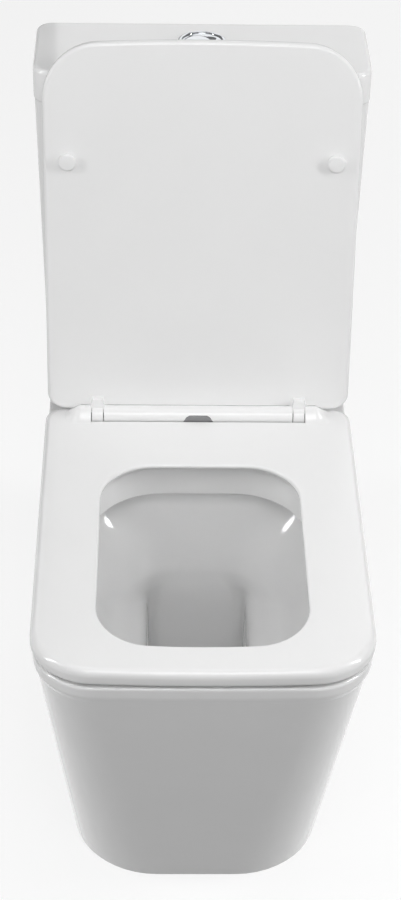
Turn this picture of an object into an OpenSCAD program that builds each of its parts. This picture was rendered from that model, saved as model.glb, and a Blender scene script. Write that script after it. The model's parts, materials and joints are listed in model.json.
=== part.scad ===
// Close coupled toilet: a shrouded pan, a slim cistern on its back shelf, and a soft-close seat and lid.
// Frame: +Z up, +Y towards the wall, +X to the right of a person facing the toilet.
// The origin is on the floor, at the centre of the whole object's box.
// Distances called "d" are measured from the wall towards the front.

/* [Overall] */
// From the wall to the front of the seat
overall_depth = 654; // [640:1:670]
// Corner smoothness of the cast and moulded outlines, in steps per corner
corner_steps = 8; // [5:1:10]

/* [Pan] */
// Height of the pan's rim and rear shelf
rim_z = 403; // [400:1:406]
// Half the pan's width at the rim
rim_half_w = 176; // [174:1:178]
// Half the pan's width at the floor
foot_half_w = 144; // [138:1:150]
// From the wall to the front of the foot
foot_d = 528; // [515:1:540]
// Front corner radius of the foot
foot_corner_r = 98; // [85:1:105]
// Thickness of the cast walls
china_t = 12; // [11:1:13]
// Height of the waste outlet's centre
outlet_z = 190; // [185:1:195]

/* [Cistern] */
// Height of the top of the cistern lid
cistern_top_z = 827; // [824:1:832]
// Height of the cistern lid, from its joint to its top
cistern_lid_h = 41; // [40:1:43]
// Half the width of the cistern lid
cistern_lid_half_w = 186; // [185.5:0.5:187]
// Depth of the cistern lid
cistern_lid_d = 128; // [127:1:129]
// Distance of the flush button and valve from the wall
valve_d = 62; // [61:1:63]

/* [Seat and lid] */
// Height of the top of the seat
seat_top_z = 427; // [426:1:428]
// Thickness of the seat
seat_t = 19; // [18:1:19]
// Half the width of the seat
seat_half_w = 178; // [177:1:180]
// Half the width of the lid
lid_half_w = 175; // [173:1:176]
// Thickness of the lid
lid_t = 13; // [12:1:13]
// Distance of the hinge line from the wall
hinge_d = 208; // [207:1:210]
// How far the lid stands open
lid_angle = 98.9; // [98:0.1:98.9]

/* [Fasteners] */
// Half the distance between the seat's fixing holes
seat_bolt_x = 77.5; // [76:0.5:79]
// Half the distance between the two cistern coupling bolts
tank_bolt_x = 78; // [76:1:80]

/* [Hidden] */
$fn = 64;
china = "#f3f3f1";
duroplast = "#f4f4f2";
chrome = "#c9ccd0";
grey_abs = "#8f9092";
white_pp = "#e4e6e8";
rubber = "#2f3033";
steel = "#b9bcc0";
blue_pom = "#5b7fa6";
wall_y = overall_depth / 2;
fit = 0.08;
gap = 0.4;
edge_steps = 5;
joint_z = cistern_top_z - cistern_lid_h;
tank_floor_z = rim_z + 6;
tank_inside_z = tank_floor_z + china_t;
tank_half_w = cistern_lid_half_w - 1;
tank_depth = cistern_lid_d - 3;
hinge_z = seat_top_z + 2;
barrel_r = 11;
barrel_half = 109.6;
ear_in = 110.6;
ear_out = 123.6;
knuckle_in = 124.4;
knuckle_out = 143;
pin_r = 4;
lid_offset = 5;
lid_length = overall_depth - 2 - hinge_d;
seat_front_d = overall_depth;
seat_bottom_z = seat_top_z - seat_t;
seat_notch = 12.2;
lid_buffer_s = 308;
lid_buffer_x = 148.5;
outlet_r = 51;
passage_r = 28;
sump_z = 66;
deck_under_z = rim_z - china_t - 2;
spigot_end_d = 4;
inlet_x = 114;
inlet_r = 10.48;
shank_r = 10.9;
button_travel = 6;
button_r = 23;
half_button_x = -5;
half_button_r = 15;
full_rod_x = 16.8;
rod_r = 2.5;
valve_head_z = 720;
fixing_d = 130;
floor_screw_x = 108;
fixing_z = 26;
side_tilt = atan((rim_half_w - 3 - foot_half_w) / (rim_z - 20));

// ---------- shapes that repeat ----------

function y_at(d) = wall_y - d;

// A quarter circle of points, from angle a
function arc(cx, cy, r, a) =
    [for (i = [0 : corner_steps]) [cx + r * cos(a + 90 * i / corner_steps), cy + r * sin(a + 90 * i / corner_steps)]];

// A rounded rectangle between two distances from the wall, anticlockwise from above.
// A bow above 0 crowns its front edge by that much.
function outline(half_w, d_back, d_front, r_back, r_front, bow = 0) =
    let (
        back = y_at(d_back),
        front = y_at(d_front),
        middle = (back + front) / 2,
        straight = 2 * (half_w - r_front),
        points = concat(
            arc(half_w - r_front, front + r_front, r_front, -90),
            arc(half_w - r_back, back - r_back, r_back, 0),
            arc(r_back - half_w, back - r_back, r_back, 90),
            arc(r_front - half_w, front + r_front, r_front, 180),
            bow > 0 ? [for (i = [1 : edge_steps]) [r_front - half_w + straight * i / (edge_steps + 1), front]] : []
        )
    )
    [for (p = points) [p.x, p.y + (p.y < middle ? bow * pow(p.x / half_w, 2) : 0)]];

// One level of a loft: [z, half width, back d, front d, back radius, front radius, bow]
function level(row, grow = 0) =
    let (flat = outline(row[1] + grow, row[2] - grow, row[3] + grow, row[4] + grow, row[5] + grow, row[6]))
    [for (p = flat) [p.x, p.y, row[0]]];

// Triangles between neighbouring levels, each of n points
function skin(levels, n, closed) =
    [for (j = [0 : levels - (closed ? 1 : 2)], i = [0 : n - 1], half = [0, 1])
        let (
            low = j * n,
            high = ((j + 1) % levels) * n,
            next = (i + 1) % n
        )
        half == 0 ? [low + i, high + i, high + next] : [low + i, high + next, low + next]];

// A closed solid through levels that go upwards; grow thickens its sides and its floor
module loft(rows, grow = 0) {
    floored = [for (i = [0 : len(rows) - 1]) i == 0 ? concat([rows[0][0] - grow], [for (k = [1 : 6]) rows[0][k]]) : rows[i]];
    rings = [for (row = floored) level(row, grow)];
    n = len(rings[0]);
    m = len(rings);
    caps = [[for (i = [0 : n - 1]) i], [for (i = [n - 1 : -1 : 0]) (m - 1) * n + i]];
    polyhedron([for (ring = rings) for (p = ring) p], concat(skin(m, n, false), caps));
}

// A ring-shaped solid, whose levels go round its section
module ring_loft(rows) {
    rings = [for (row = rows) level(row)];
    polyhedron([for (ring = rings) for (p = ring) p], skin(len(rings), len(rings[0]), true));
}

// A wire spring standing on z = 0
module coil(r, wire, height, turns) {
    per_turn = 10;
    sides = 6;
    steps = turns * per_turn;
    points = [for (i = [0 : steps], k = [0 : sides - 1])
        let (a = 360 * i / per_turn, reach = r + wire * cos(360 * k / sides))
        [reach * cos(a), reach * sin(a), wire + (height - 2 * wire) * i / steps + wire * sin(360 * k / sides)]];
    walls = [for (i = [0 : steps - 1], k = [0 : sides - 1])
        let (next = (k + 1) % sides)
        [i * sides + k, i * sides + next, (i + 1) * sides + next, (i + 1) * sides + k]];
    ends = [[for (k = [sides - 1 : -1 : 0]) k], [for (k = [0 : sides - 1]) steps * sides + k]];
    polyhedron(points, concat([for (w = walls) for (t = [[w[0], w[1], w[2]], [w[0], w[2], w[3]]]) t], ends));
}

module tube(r_out, r_in, h) {
    difference() {
        cylinder(r = r_out, h = h);
        translate([0, 0, -1]) cylinder(r = r_in, h = h + 2);
    }
}

module both_sides() {
    children();
    mirror([1, 0, 0]) children();
}

// A rod along X from x0 to x1, on the hinge line
module hinge_rod(r, x0, x1) {
    translate([x0, 0, 0]) rotate([0, 90, 0]) cylinder(r = r, h = x1 - x0);
}

module on_hinge(angle = 0) {
    translate([0, y_at(hinge_d), hinge_z]) rotate([-angle, 0, 0]) children();
}

module on_valve(z) {
    translate([0, y_at(valve_d), z]) children();
}

// A wing nut with its seat at z = 0 and its wings hanging down
module wing_nut(bore) {
    difference() {
        union() {
            translate([0, 0, -8]) cylinder(r = 9, h = 8);
            translate([-17, -2.2, -16]) cube([34, 4.4, 10]);
            translate([0, 0, -15]) cylinder(r = 7.5, h = 10);
        }
        translate([0, 0, -20]) cylinder(r = bore, h = 30);
    }
}

// ---------- pan ----------

pan_outside = [
    [0, foot_half_w, 0, foot_d, 14, foot_corner_r, 1],
    [rim_z - 20, rim_half_w - 3, 0, overall_depth - 6.5, 14, 66, 2],
    [rim_z - 15, rim_half_w - 0.6, 0, overall_depth - 3.6, 14, 64, 3],
    [rim_z - 4, rim_half_w, 0, overall_depth - 3, 14, 64, 3],
    [rim_z - 1, rim_half_w - 1.2, 1, overall_depth - 4.2, 13, 63, 3],
    [rim_z, rim_half_w - 4, 4, overall_depth - 7, 10, 60, 3]
];
pan_void = [
    [-1, foot_half_w - 13, 13, foot_d - 13, 10, foot_corner_r - 13, 1],
    [deck_under_z - 30, rim_half_w - 17.5, 13, overall_depth - 24, 10, 54, 2],
    [deck_under_z, rim_half_w - 22, 18, overall_depth - 30, 10, 50, 2]
];
bowl_inside = [
    [sump_z, 50, 300, 408, 30, 30, 1],
    [95, 57, 296, 432, 28, 32, 1],
    [165, 57, 288, 464, 24, 28, 1],
    [228, 60, 286, 520, 22, 32, 1],
    [262, 100, 279, 574, 66, 52, 1],
    [300, 128, 261, 603, 96, 64, 1],
    [345, 149, 247, 619, 88, 68, 2],
    [rim_z - 13, 150, 246, 632, 84, 68, 2]
];
rim_mouth = [
    [rim_z - 60, 122, 272, 612, 82, 60, 2],
    [rim_z - 8, 122, 272, 612, 82, 60, 2],
    [rim_z - 2, 124, 270, 614, 82, 60, 2],
    [rim_z + 1, 130, 264, 620, 82, 62, 2]
];
flange_outside = [
    [rim_z - 42, 128, 266, 618, 84, 64, 2],
    [rim_z - 6, 130, 264, 619, 86, 66, 2]
];

// A straight run of the waste passage between two [d, z] points, with a knuckle at its start
module passage(a, b, r, knuckle_r) {
    span = norm(b - a);
    tilt = atan2(b[0] - a[0], b[1] - a[1]);
    translate([0, y_at(a[0]), a[1]]) rotate([tilt, 0, 0]) {
        cylinder(r = r, h = span);
        if (knuckle_r > 0) sphere(r = knuckle_r);
    }
}

// The water trap, from the sump, up over the weir and back to the outlet
module passage_run(r, start_d) {
    turns = [[start_d, sump_z + passage_r], [285, sump_z + passage_r], [180, outlet_z + 10], [70, outlet_z]];
    for (i = [0 : len(turns) - 2]) passage(turns[i], turns[i + 1], r, i > 0 ? r + 0.7 : 0);
}

// Everything along the side fixing's screw: its +Z points straight out of the sloping side
module on_fixing() both_sides() {
    half_w = foot_half_w + fixing_z * tan(side_tilt);
    translate([half_w, y_at(fixing_d), fixing_z]) rotate([0, 90 + side_tilt, 0]) children();
}

module pan_solid() {
    difference() {
        loft(pan_outside);
        difference() {
            loft(pan_void);
            loft(bowl_inside, china_t);
            passage_run(passage_r + 11, 305);
            // water way from the cistern to the rim
            on_valve(rim_z - 50) cylinder(r = 58, h = 60);
            translate([-42, y_at(270), rim_z - 50]) cube([84, 210, 60]);
        }
    }
}

module pan() color(china) difference() {
    union() {
        difference() {
            pan_solid();
            loft(bowl_inside);
            // open back round the spigot
            translate([-112, y_at(60), -1]) cube([224, 62, 311]);
        }
        // hanging flange that hides the open water channel
        loft(flange_outside);
        // waste spigot
        translate([0, y_at(spigot_end_d), outlet_z]) rotate([90, 0, 0]) cylinder(r = outlet_r, h = 84);
    }
    loft(rim_mouth);
    passage_run(passage_r, 352);
    translate([0, y_at(spigot_end_d - 5), outlet_z]) rotate([90, 0, 0]) cylinder(r = outlet_r - 8, h = 75);
    on_valve(rim_z - 15) cylinder(r = 46, h = 20);
    on_valve(rim_z - 37) cylinder(r = 30, h = 40);
    translate([-28, y_at(257), rim_z - 38]) cube([56, 195, 16]);
    both_sides() {
        translate([tank_bolt_x, y_at(valve_d), rim_z - 20]) cylinder(r = 5.5, h = 30);
        translate([seat_bolt_x, y_at(hinge_d), rim_z - 20]) cylinder(r = 7, h = 30);
    }
    translate([inlet_x, y_at(valve_d), rim_z - 20]) cylinder(r = 24, h = 30);
    on_fixing() translate([0, 0, -30]) cylinder(r = 6.5, h = 40);
}

// ---------- cistern ----------

tank_outside = [
    [tank_floor_z, tank_half_w - 13.5, 8, tank_depth - 9, 14, 15, 0],
    [tank_floor_z + 3, tank_half_w - 9, 3.5, tank_depth - 4.5, 17, 18, 0],
    [tank_floor_z + 9, tank_half_w - 7, 2, tank_depth - 2.5, 18, 20, 0],
    [joint_z - 2, tank_half_w, 2, tank_depth, 18, 20, 0],
    [joint_z, tank_half_w - 1.5, 3.5, tank_depth - 1.5, 17, 19, 0]
];
tank_inside = [
    [tank_inside_z, tank_half_w - 21, 16, tank_depth - 16, 8, 10, 0],
    [tank_inside_z + 8, tank_half_w - 17, 12, tank_depth - 12, 9, 11, 0],
    [joint_z + 1, tank_half_w - 10, 12, tank_depth - 10, 9, 11, 0]
];

module cistern_tank() color(china) difference() {
    loft(tank_outside);
    loft(tank_inside);
    on_valve(tank_floor_z - 1) cylinder(r = 29, h = 30);
    both_sides() translate([tank_bolt_x, y_at(valve_d), tank_floor_z - 1]) cylinder(r = 5.5, h = 30);
    translate([inlet_x, y_at(valve_d), tank_floor_z - 1]) cylinder(r = 11.5, h = 30);
}

lid_outside = [
    [joint_z + 0.2, cistern_lid_half_w - 2, 1.5, cistern_lid_d - 2, 17, 18, 0],
    [joint_z + 2.5, cistern_lid_half_w, 0, cistern_lid_d, 18, 20, 0],
    [cistern_top_z - 6, cistern_lid_half_w, 0, cistern_lid_d, 18, 20, 0],
    [cistern_top_z - 2, cistern_lid_half_w - 1.4, 1.4, cistern_lid_d - 1.4, 17, 19, 0],
    [cistern_top_z, cistern_lid_half_w - 5, 5, cistern_lid_d - 5, 13, 15, 0]
];
lid_inside = [
    [joint_z - 1, cistern_lid_half_w - 16, 16, cistern_lid_d - 16, 6, 6, 0],
    [cistern_top_z - 10, cistern_lid_half_w - 16, 16, cistern_lid_d - 16, 6, 6, 0]
];
lip_outside = [
    [joint_z - 8, tank_half_w - 13, 15, tank_depth - 13, 8, 8, 0],
    [joint_z + 6, tank_half_w - 12, 14, tank_depth - 12, 8, 8, 0]
];

module cistern_lid() color(china) difference() {
    union() {
        loft(lid_outside);
        loft(lip_outside);
    }
    translate([0, 0, -10]) loft(lid_inside);
    loft(lid_inside);
    on_valve(cistern_top_z - 20) cylinder(r = 25.4, h = 30);
}

// ---------- seat and lid ----------

function seat_row(z, inset, r_inset) =
    [z, seat_half_w - inset, hinge_d - 15 + inset, seat_front_d - inset, 20 - r_inset, 62 - r_inset, 7];
function hole_row(z, grow) = [z, 110 + grow, 306 - grow, 611 + grow, 60 + grow, 56 + grow, 6];

seat_section = [
    hole_row(seat_bottom_z, 3),
    seat_row(seat_bottom_z, 6, 6),
    seat_row(seat_bottom_z + 2, 2, 2),
    seat_row(seat_bottom_z + 6, 0, 0),
    seat_row(seat_top_z - 7, 0, 0),
    seat_row(seat_top_z - 2.5, 2, 2),
    seat_row(seat_top_z, 7.5, 7),
    hole_row(seat_top_z, 9),
    hole_row(seat_top_z - 2.5, 3),
    hole_row(seat_top_z - 7, 0),
    hole_row(seat_bottom_z + 4, 0)
];

module seat() color(duroplast) difference() {
    union() {
        difference() {
            ring_loft(seat_section);
            translate([-knuckle_in, y_at(hinge_d + seat_notch), seat_bottom_z - 1]) cube([2 * knuckle_in, 60, 60]);
        }
        on_hinge() both_sides() {
            hinge_rod(barrel_r, knuckle_in, knuckle_out);
            translate([knuckle_in, -14, -18]) cube([knuckle_out - knuckle_in, 22, 17]);
        }
    }
    on_hinge() both_sides() hinge_rod(pin_r + fit, knuckle_in - 1, knuckle_out - 2);
}

module seat_buffers() color(white_pp) both_sides()
    for (place = [[147, 300], [128, 612]]) translate([place[0], y_at(place[1]), rim_z + 0.3]) {
        cylinder(r1 = 7, r2 = 8, h = 2);
        translate([0, 0, 2]) cylinder(r = 8, h = seat_bottom_z - rim_z - 2.3);
    }

// Lid levels lie in the closed lid's own frame, where z = 0 is the hinge line
function lid_row(z, inset) =
    [z, lid_half_w - inset, hinge_d + 4.5 + inset * 0.6, hinge_d + lid_length - inset, 20 - inset, 60 - inset, 6];

lid_section = [
    lid_row(lid_offset, 4),
    lid_row(lid_offset + 1.5, 1),
    lid_row(lid_offset + 4, 0),
    lid_row(lid_offset + lid_t - 5, 0),
    lid_row(lid_offset + lid_t - 1.5, 2),
    lid_row(lid_offset + lid_t, 6)
];

module ear() hull() {
    hinge_rod(barrel_r, ear_in, ear_out);
    translate([ear_in, -16, lid_offset]) cube([ear_out - ear_in, 6, 5]);
}

module toilet_lid() color(duroplast) on_hinge(lid_angle) difference() {
    union() {
        difference() {
            translate([0, -y_at(hinge_d), 0]) loft(lid_section);
            hinge_rod(barrel_r + 1, -knuckle_out - 1.5, knuckle_out + 1.5);
        }
        both_sides() ear();
    }
    both_sides() hinge_rod(pin_r + fit, ear_in - 1, ear_out + 1);
}

module lid_buffers() color(white_pp) on_hinge(lid_angle) both_sides()
    translate([lid_buffer_x, -lid_buffer_s, lid_offset]) mirror([0, 0, 1]) {
        cylinder(r = 10, h = 4);
        translate([0, 0, 4]) cylinder(r1 = 10, r2 = 7, h = 2.5);
    }

// ---------- hinge ----------

// The right half of the release button's face, from its foot to its top, and the whole of it
release_edge = [[18, -6.5], [16.5, -1], [13.5, 3], [10, 5]];
function release_face(grow = 0) = concat(
    [for (p = release_edge) [p.x + grow, p.y + (p.y > 0 ? grow : -grow)]],
    [for (i = [3 : -1 : 0]) [-release_edge[i].x - grow, release_edge[i].y + (release_edge[i].y > 0 ? grow : -grow)]]
);

module hinge_barrel() color(duroplast) on_hinge() difference() {
    hinge_rod(barrel_r, -barrel_half, barrel_half);
    both_sides() hinge_rod(8, 50, barrel_half + 1);
    // pocket of the release button
    translate([-24, -5, -7]) cube([48, 13, 13]);
    rotate([90, 0, 0]) linear_extrude(height = 20) polygon(release_face(gap));
    // sockets of the posts
    both_sides() translate([seat_bolt_x - hinge_post_shift(), 0, -barrel_r - 1]) cylinder(r = 5.05, h = 8);
}

// The posts stand under the solid stretches of the barrel
function hinge_post_shift() = 40;

module hinge_dampers() color(grey_abs) on_hinge() both_sides() {
    hinge_rod(7.9, 50.2, barrel_half - 0.2);
    hinge_rod(pin_r, barrel_half - 0.2, knuckle_out - 3);
}

module hinge_posts() color(chrome) on_hinge() both_sides() {
    foot = rim_z - hinge_z;
    difference() {
        union() {
            translate([seat_bolt_x, 0, foot + 0.1]) cylinder(r = 15, h = 4);
            translate([seat_bolt_x - hinge_post_shift() - 8, -8, foot + 0.1]) cube([hinge_post_shift() + 8, 16, 4]);
            translate([seat_bolt_x - hinge_post_shift(), 0, foot + 0.1]) cylinder(r = 5, h = 21.9);
        }
        translate([seat_bolt_x, 0, foot - 1]) cylinder(r = 4.1, h = 10);
    }
}

module hinge_bolts() color(steel) both_sides() translate([seat_bolt_x, y_at(hinge_d), 0]) {
    translate([0, 0, rim_z - 55]) cylinder(r = 4, h = 59.1);
    translate([0, 0, rim_z + 4.1]) cylinder(r = 7, h = 3.4);
}

module hinge_washers() color(rubber) both_sides()
    translate([seat_bolt_x, y_at(hinge_d), deck_under_z - 4]) tube(12, 4.1, 3.9);

module hinge_wing_nuts() color(white_pp) both_sides()
    translate([seat_bolt_x, y_at(hinge_d), deck_under_z - 4.1]) wing_nut(4.08);

module release_button() color(grey_abs) on_hinge() {
    intersection() {
        rotate([90, 0, 0]) linear_extrude(height = 20) polygon(release_face());
        hinge_rod(barrel_r + 0.4, -30, 30);
        translate([-30, -20, -20]) cube([60, 16, 40]);
    }
    translate([-21, -4.6, -6.2]) cube([42, 2.2, 11]);
}

module release_spring() color(steel) on_hinge() translate([0, -2.3, 0]) rotate([-90, 0, 0]) coil(4, 0.5, 10.2, 4);

// ---------- flush buttons ----------

module button_bezel() color(chrome) on_valve(0) {
    difference() {
        union() {
            translate([0, 0, cistern_top_z]) cylinder(r = 28, h = 4);
            translate([0, 0, cistern_top_z + 4]) cylinder(r1 = 28, r2 = 26, h = 2.5);
            translate([0, 0, cistern_top_z - 24]) cylinder(r = 25, h = 25);
        }
        translate([0, 0, cistern_top_z - 20]) cylinder(r = button_r + 0.35, h = 30);
        for (x = [half_button_x, full_rod_x]) translate([x, 0, cistern_top_z - 30]) cylinder(r = rod_r + fit, h = 20);
    }
}

module bezel_nut() color(white_pp) on_valve(cistern_top_z - 18.2) difference() {
    cylinder(r = 33, h = 8);
    translate([0, 0, -1]) cylinder(r = 25.08, h = 10);
    for (a = [0 : 45 : 315]) rotate([0, 0, a]) translate([35, 0, -1]) cylinder(r = 4, h = 10);
}

module push_rod(x) translate([x, 0, valve_head_z - 16]) cylinder(r = rod_r, h = cistern_top_z + 3 - valve_head_z + 16);

module full_flush_button() color(chrome) on_valve(0) {
    difference() {
        translate([0, 0, cistern_top_z + 1]) cylinder(r = button_r, h = 4.6);
        translate([half_button_x, 0, cistern_top_z]) cylinder(r = half_button_r + 0.35, h = 10);
    }
    push_rod(full_rod_x);
}

module half_flush_button() color(chrome) on_valve(0) {
    translate([half_button_x, 0, cistern_top_z + 1]) cylinder(r = half_button_r, h = 5);
    push_rod(half_button_x);
}

module full_button_spring() color(steel)
    translate([full_rod_x, y_at(valve_d), cistern_top_z - 20]) coil(3.8, 0.5, 21, 6);

module half_button_spring() color(steel)
    translate([half_button_x, y_at(valve_d), cistern_top_z - 20]) coil(5.5, 0.5, 21, 6);

// ---------- flush valve ----------

module flush_valve_base() color(white_pp) on_valve(0) {
    difference() {
        union() {
            translate([0, 0, tank_inside_z + 3]) cylinder(r = 38, h = 6);
            translate([0, 0, rim_z - 22]) cylinder(r = 27, h = tank_inside_z + 5 - rim_z + 22);
        }
        translate([0, 0, rim_z - 30]) cylinder(r = 22, h = 80);
    }
    for (a = [45 : 90 : 315]) rotate([0, 0, a]) translate([34, 0, tank_inside_z + 8]) cylinder(r = 2.6, h = 151);
}

module flush_valve_tower() color(white_pp) on_valve(0) difference() {
    union() {
        translate([0, 0, tank_inside_z + 159.1]) cylinder(r = 38, h = 8);
        translate([0, 0, tank_inside_z + 159.1]) cylinder(r = 24, h = valve_head_z - tank_inside_z - 159.1 - 30);
        translate([0, 0, valve_head_z - 32]) cylinder(r = 30, h = 32);
    }
    translate([0, 0, tank_inside_z + 150]) cylinder(r = 14.6, h = valve_head_z - tank_inside_z - 150 - 26);
    for (x = [half_button_x, full_rod_x]) translate([x, 0, valve_head_z - 23.5]) cylinder(r = rod_r + fit, h = 30);
}

module valve_lift_tube() color(blue_pom) on_valve(tank_inside_z + 12.6) {
    difference() {
        union() {
            cylinder(r = 14, h = 236);
            cylinder(r = 29, h = 4);
        }
        translate([0, 0, -1]) cylinder(r = 11.5, h = 240);
    }
}

module valve_seal() color(rubber) on_valve(tank_inside_z + 9.3) tube(26.5, 12, 3.2);

module valve_base_washer() color(rubber) on_valve(tank_inside_z + 0.05) tube(38, 27.1, 2.9);

module valve_back_nut() color(white_pp) on_valve(tank_floor_z - 12.1) difference() {
    cylinder(r = 34, h = 12, $fn = 6);
    translate([0, 0, -1]) cylinder(r = 27.08, h = 14);
}

module doughnut_gasket() color(rubber) on_valve(rim_z - 14.9) tube(45.4, 35, 20.8);

// ---------- coupling of cistern and pan ----------

module at_coupling(z) both_sides() translate([tank_bolt_x, y_at(valve_d), z]) children();

module coupling_bolts() color(steel) {
    at_coupling(rim_z - 60) cylinder(r = 4, h = tank_inside_z + 4 - rim_z + 60);
    at_coupling(tank_inside_z + 4) cylinder(r = 8, h = 5);
}

module coupling_seals() color(rubber) at_coupling(tank_inside_z + 0.05) difference() {
    cylinder(r1 = 11, r2 = 10, h = 3.9);
    translate([0, 0, -1]) cylinder(r = 4.06, h = 6);
}

module coupling_washers() color(steel) at_coupling(deck_under_z - 2.1) tube(13, 4.1, 2);

module coupling_wing_nuts() color(white_pp) at_coupling(deck_under_z - 2.2) wing_nut(4.08);

// ---------- fill valve ----------

module on_inlet(z) translate([inlet_x, y_at(valve_d), z]) children();

module fill_valve_column() color(white_pp) difference() {
    union() {
        on_inlet(rim_z - 31) cylinder(r = inlet_r, h = 28);
        on_inlet(rim_z - 4) cylinder(r = shank_r, h = tank_inside_z + 7 - rim_z);
        on_inlet(tank_inside_z + 3) cylinder(r = 17, h = 8);
        on_inlet(tank_inside_z + 11) cylinder(r = 12, h = 300);
    }
    on_inlet(rim_z - 32) cylinder(r = 7, h = 330);
}

module fill_valve_head() color(blue_pom) {
    on_inlet(tank_inside_z + 311.1) cylinder(r = 19, h = 22);
    on_inlet(tank_inside_z + 333) cylinder(r = 14, h = 8);
}

module fill_float() color(white_pp) on_inlet(tank_inside_z + 190) difference() {
    cylinder(r = 26, h = 62);
    translate([0, 0, -1]) cylinder(r = 12 + fit + 0.02, h = 64);
    translate([0, 0, -1]) tube(24, 14.5, 57);
}

module inlet_washer() color(rubber) on_inlet(tank_inside_z + 0.05) tube(17, shank_r + fit, 2.9);

module inlet_back_nut() color(white_pp) on_inlet(tank_floor_z - 9.1) difference() {
    cylinder(r = 17, h = 9, $fn = 6);
    translate([0, 0, -1]) cylinder(r = shank_r + fit, h = 12);
}

// ---------- floor fixings ----------

module fixing_brackets() color(white_pp) difference() {
    union() {
        intersection() {
            on_fixing() translate([-22, -15, -17.2]) cube([50, 30, 4]);
            translate([-200, y_at(fixing_d) - 50, 1]) cube([400, 100, 60]);
        }
        both_sides() translate([95, y_at(fixing_d) - 16, 0]) cube([33.5, 32, 4]);
    }
    on_fixing() translate([0, 0, -25]) cylinder(r = 2.6, h = 20);
    both_sides() translate([floor_screw_x, y_at(fixing_d), -1]) cylinder(r = 4, h = 10);
}

module fixing_screws() color(steel) on_fixing() {
    translate([0, 0, -24]) cylinder(r = 2.5, h = 15.5);
    translate([0, 0, -8.5]) cylinder(r = 5, h = 3);
}

module fixing_caps() color(chrome) on_fixing() {
    translate([0, 0, -5]) cylinder(r = 6.3, h = 5.05);
    translate([0, 0, 0.05]) cylinder(r1 = 9, r2 = 7.5, h = 2);
}

// ---------- drawing ----------

pan();
cistern_tank();
cistern_lid();
seat();
seat_buffers();
toilet_lid();
lid_buffers();
hinge_barrel();
hinge_dampers();
hinge_posts();
hinge_bolts();
hinge_washers();
hinge_wing_nuts();
release_button();
release_spring();
button_bezel();
bezel_nut();
full_flush_button();
half_flush_button();
full_button_spring();
half_button_spring();
flush_valve_base();
flush_valve_tower();
valve_lift_tube();
valve_seal();
valve_base_washer();
valve_back_nut();
doughnut_gasket();
coupling_bolts();
coupling_seals();
coupling_washers();
coupling_wing_nuts();
fill_valve_column();
fill_valve_head();
fill_float();
inlet_washer();
inlet_back_nut();
fixing_brackets();
fixing_screws();
fixing_caps();
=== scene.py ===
"""Close coupled toilet: the glazed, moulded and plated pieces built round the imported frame.

All sizes in the classes are millimetres. "Distance" (back, front) counts from the wall
towards the front, as a plumber measures it, and z counts from the floor.
"""

import json
import logging
import math
from dataclasses import dataclass, field, replace
from enum import Enum
from typing import Callable

import bmesh
import bpy
from mathutils import Matrix, Vector

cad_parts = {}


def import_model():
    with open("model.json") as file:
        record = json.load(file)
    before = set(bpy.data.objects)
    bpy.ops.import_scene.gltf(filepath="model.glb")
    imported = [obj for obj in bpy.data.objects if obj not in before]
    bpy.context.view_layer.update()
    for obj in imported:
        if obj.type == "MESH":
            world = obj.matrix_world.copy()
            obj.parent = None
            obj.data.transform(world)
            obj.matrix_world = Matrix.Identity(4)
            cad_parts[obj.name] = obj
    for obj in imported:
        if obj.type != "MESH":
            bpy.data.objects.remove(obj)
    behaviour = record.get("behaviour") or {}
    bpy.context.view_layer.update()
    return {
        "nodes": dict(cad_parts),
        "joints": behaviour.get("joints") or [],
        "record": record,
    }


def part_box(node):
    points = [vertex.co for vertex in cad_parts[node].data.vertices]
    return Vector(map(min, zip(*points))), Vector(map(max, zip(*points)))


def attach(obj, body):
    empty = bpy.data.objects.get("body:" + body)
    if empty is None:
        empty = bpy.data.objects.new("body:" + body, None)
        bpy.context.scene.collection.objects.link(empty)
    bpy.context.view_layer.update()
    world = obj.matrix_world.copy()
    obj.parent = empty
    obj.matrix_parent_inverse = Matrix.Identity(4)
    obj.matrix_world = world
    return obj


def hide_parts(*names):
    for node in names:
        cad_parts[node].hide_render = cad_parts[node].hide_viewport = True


log = logging.getLogger("toilet")

MM = 0.001
WALL_Y = 0.327
# How near two heights count as one, in metres.
LEVEL = 0.00005


# ---------------------------------------------------------------- finishes


class Texture(Enum):
    """How a surface was made, which settles the fine relief on it."""

    RIPPLE = "fired glaze, softly wavy"
    MOULDED = "pressed or injected in a polished mould"
    SPARKED = "moulded against a spark-eroded face"
    ROLLED = "drawn or rolled metal with fine lines"
    BISQUE = "fired clay with no glaze"


def linear(hex_colour: str) -> tuple[float, float, float, float]:
    """Turn an sRGB hex colour into linear values.

    Args:
        hex_colour: Six hex digits after a hash.

    Returns:
        Red, green, blue and a full alpha.
    """
    parts = [int(hex_colour[i : i + 2], 16) / 255 for i in (1, 3, 5)]
    flat = [p / 12.92 if p <= 0.04045 else ((p + 0.055) / 1.055) ** 2.4 for p in parts]
    return (flat[0], flat[1], flat[2], 1.0)


def add_node(
    tree: bpy.types.NodeTree, kind: str, settings: dict[str, object], sockets: dict[str, object]
) -> bpy.types.Node:
    """Add one node with its settings, values and links.

    Args:
        tree: The node tree it goes in.
        kind: The node's type name.
        settings: Attributes of the node itself.
        sockets: Input name to a value, or to the output socket that feeds it.

    Returns:
        The new node.
    """
    made = tree.nodes.new(kind)
    for key, value in settings.items():
        setattr(made, key, value)
    for key, value in sockets.items():
        if isinstance(value, bpy.types.NodeSocket):
            tree.links.new(value, made.inputs[key])
        else:
            made.inputs[key].default_value = value
    return made


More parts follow.
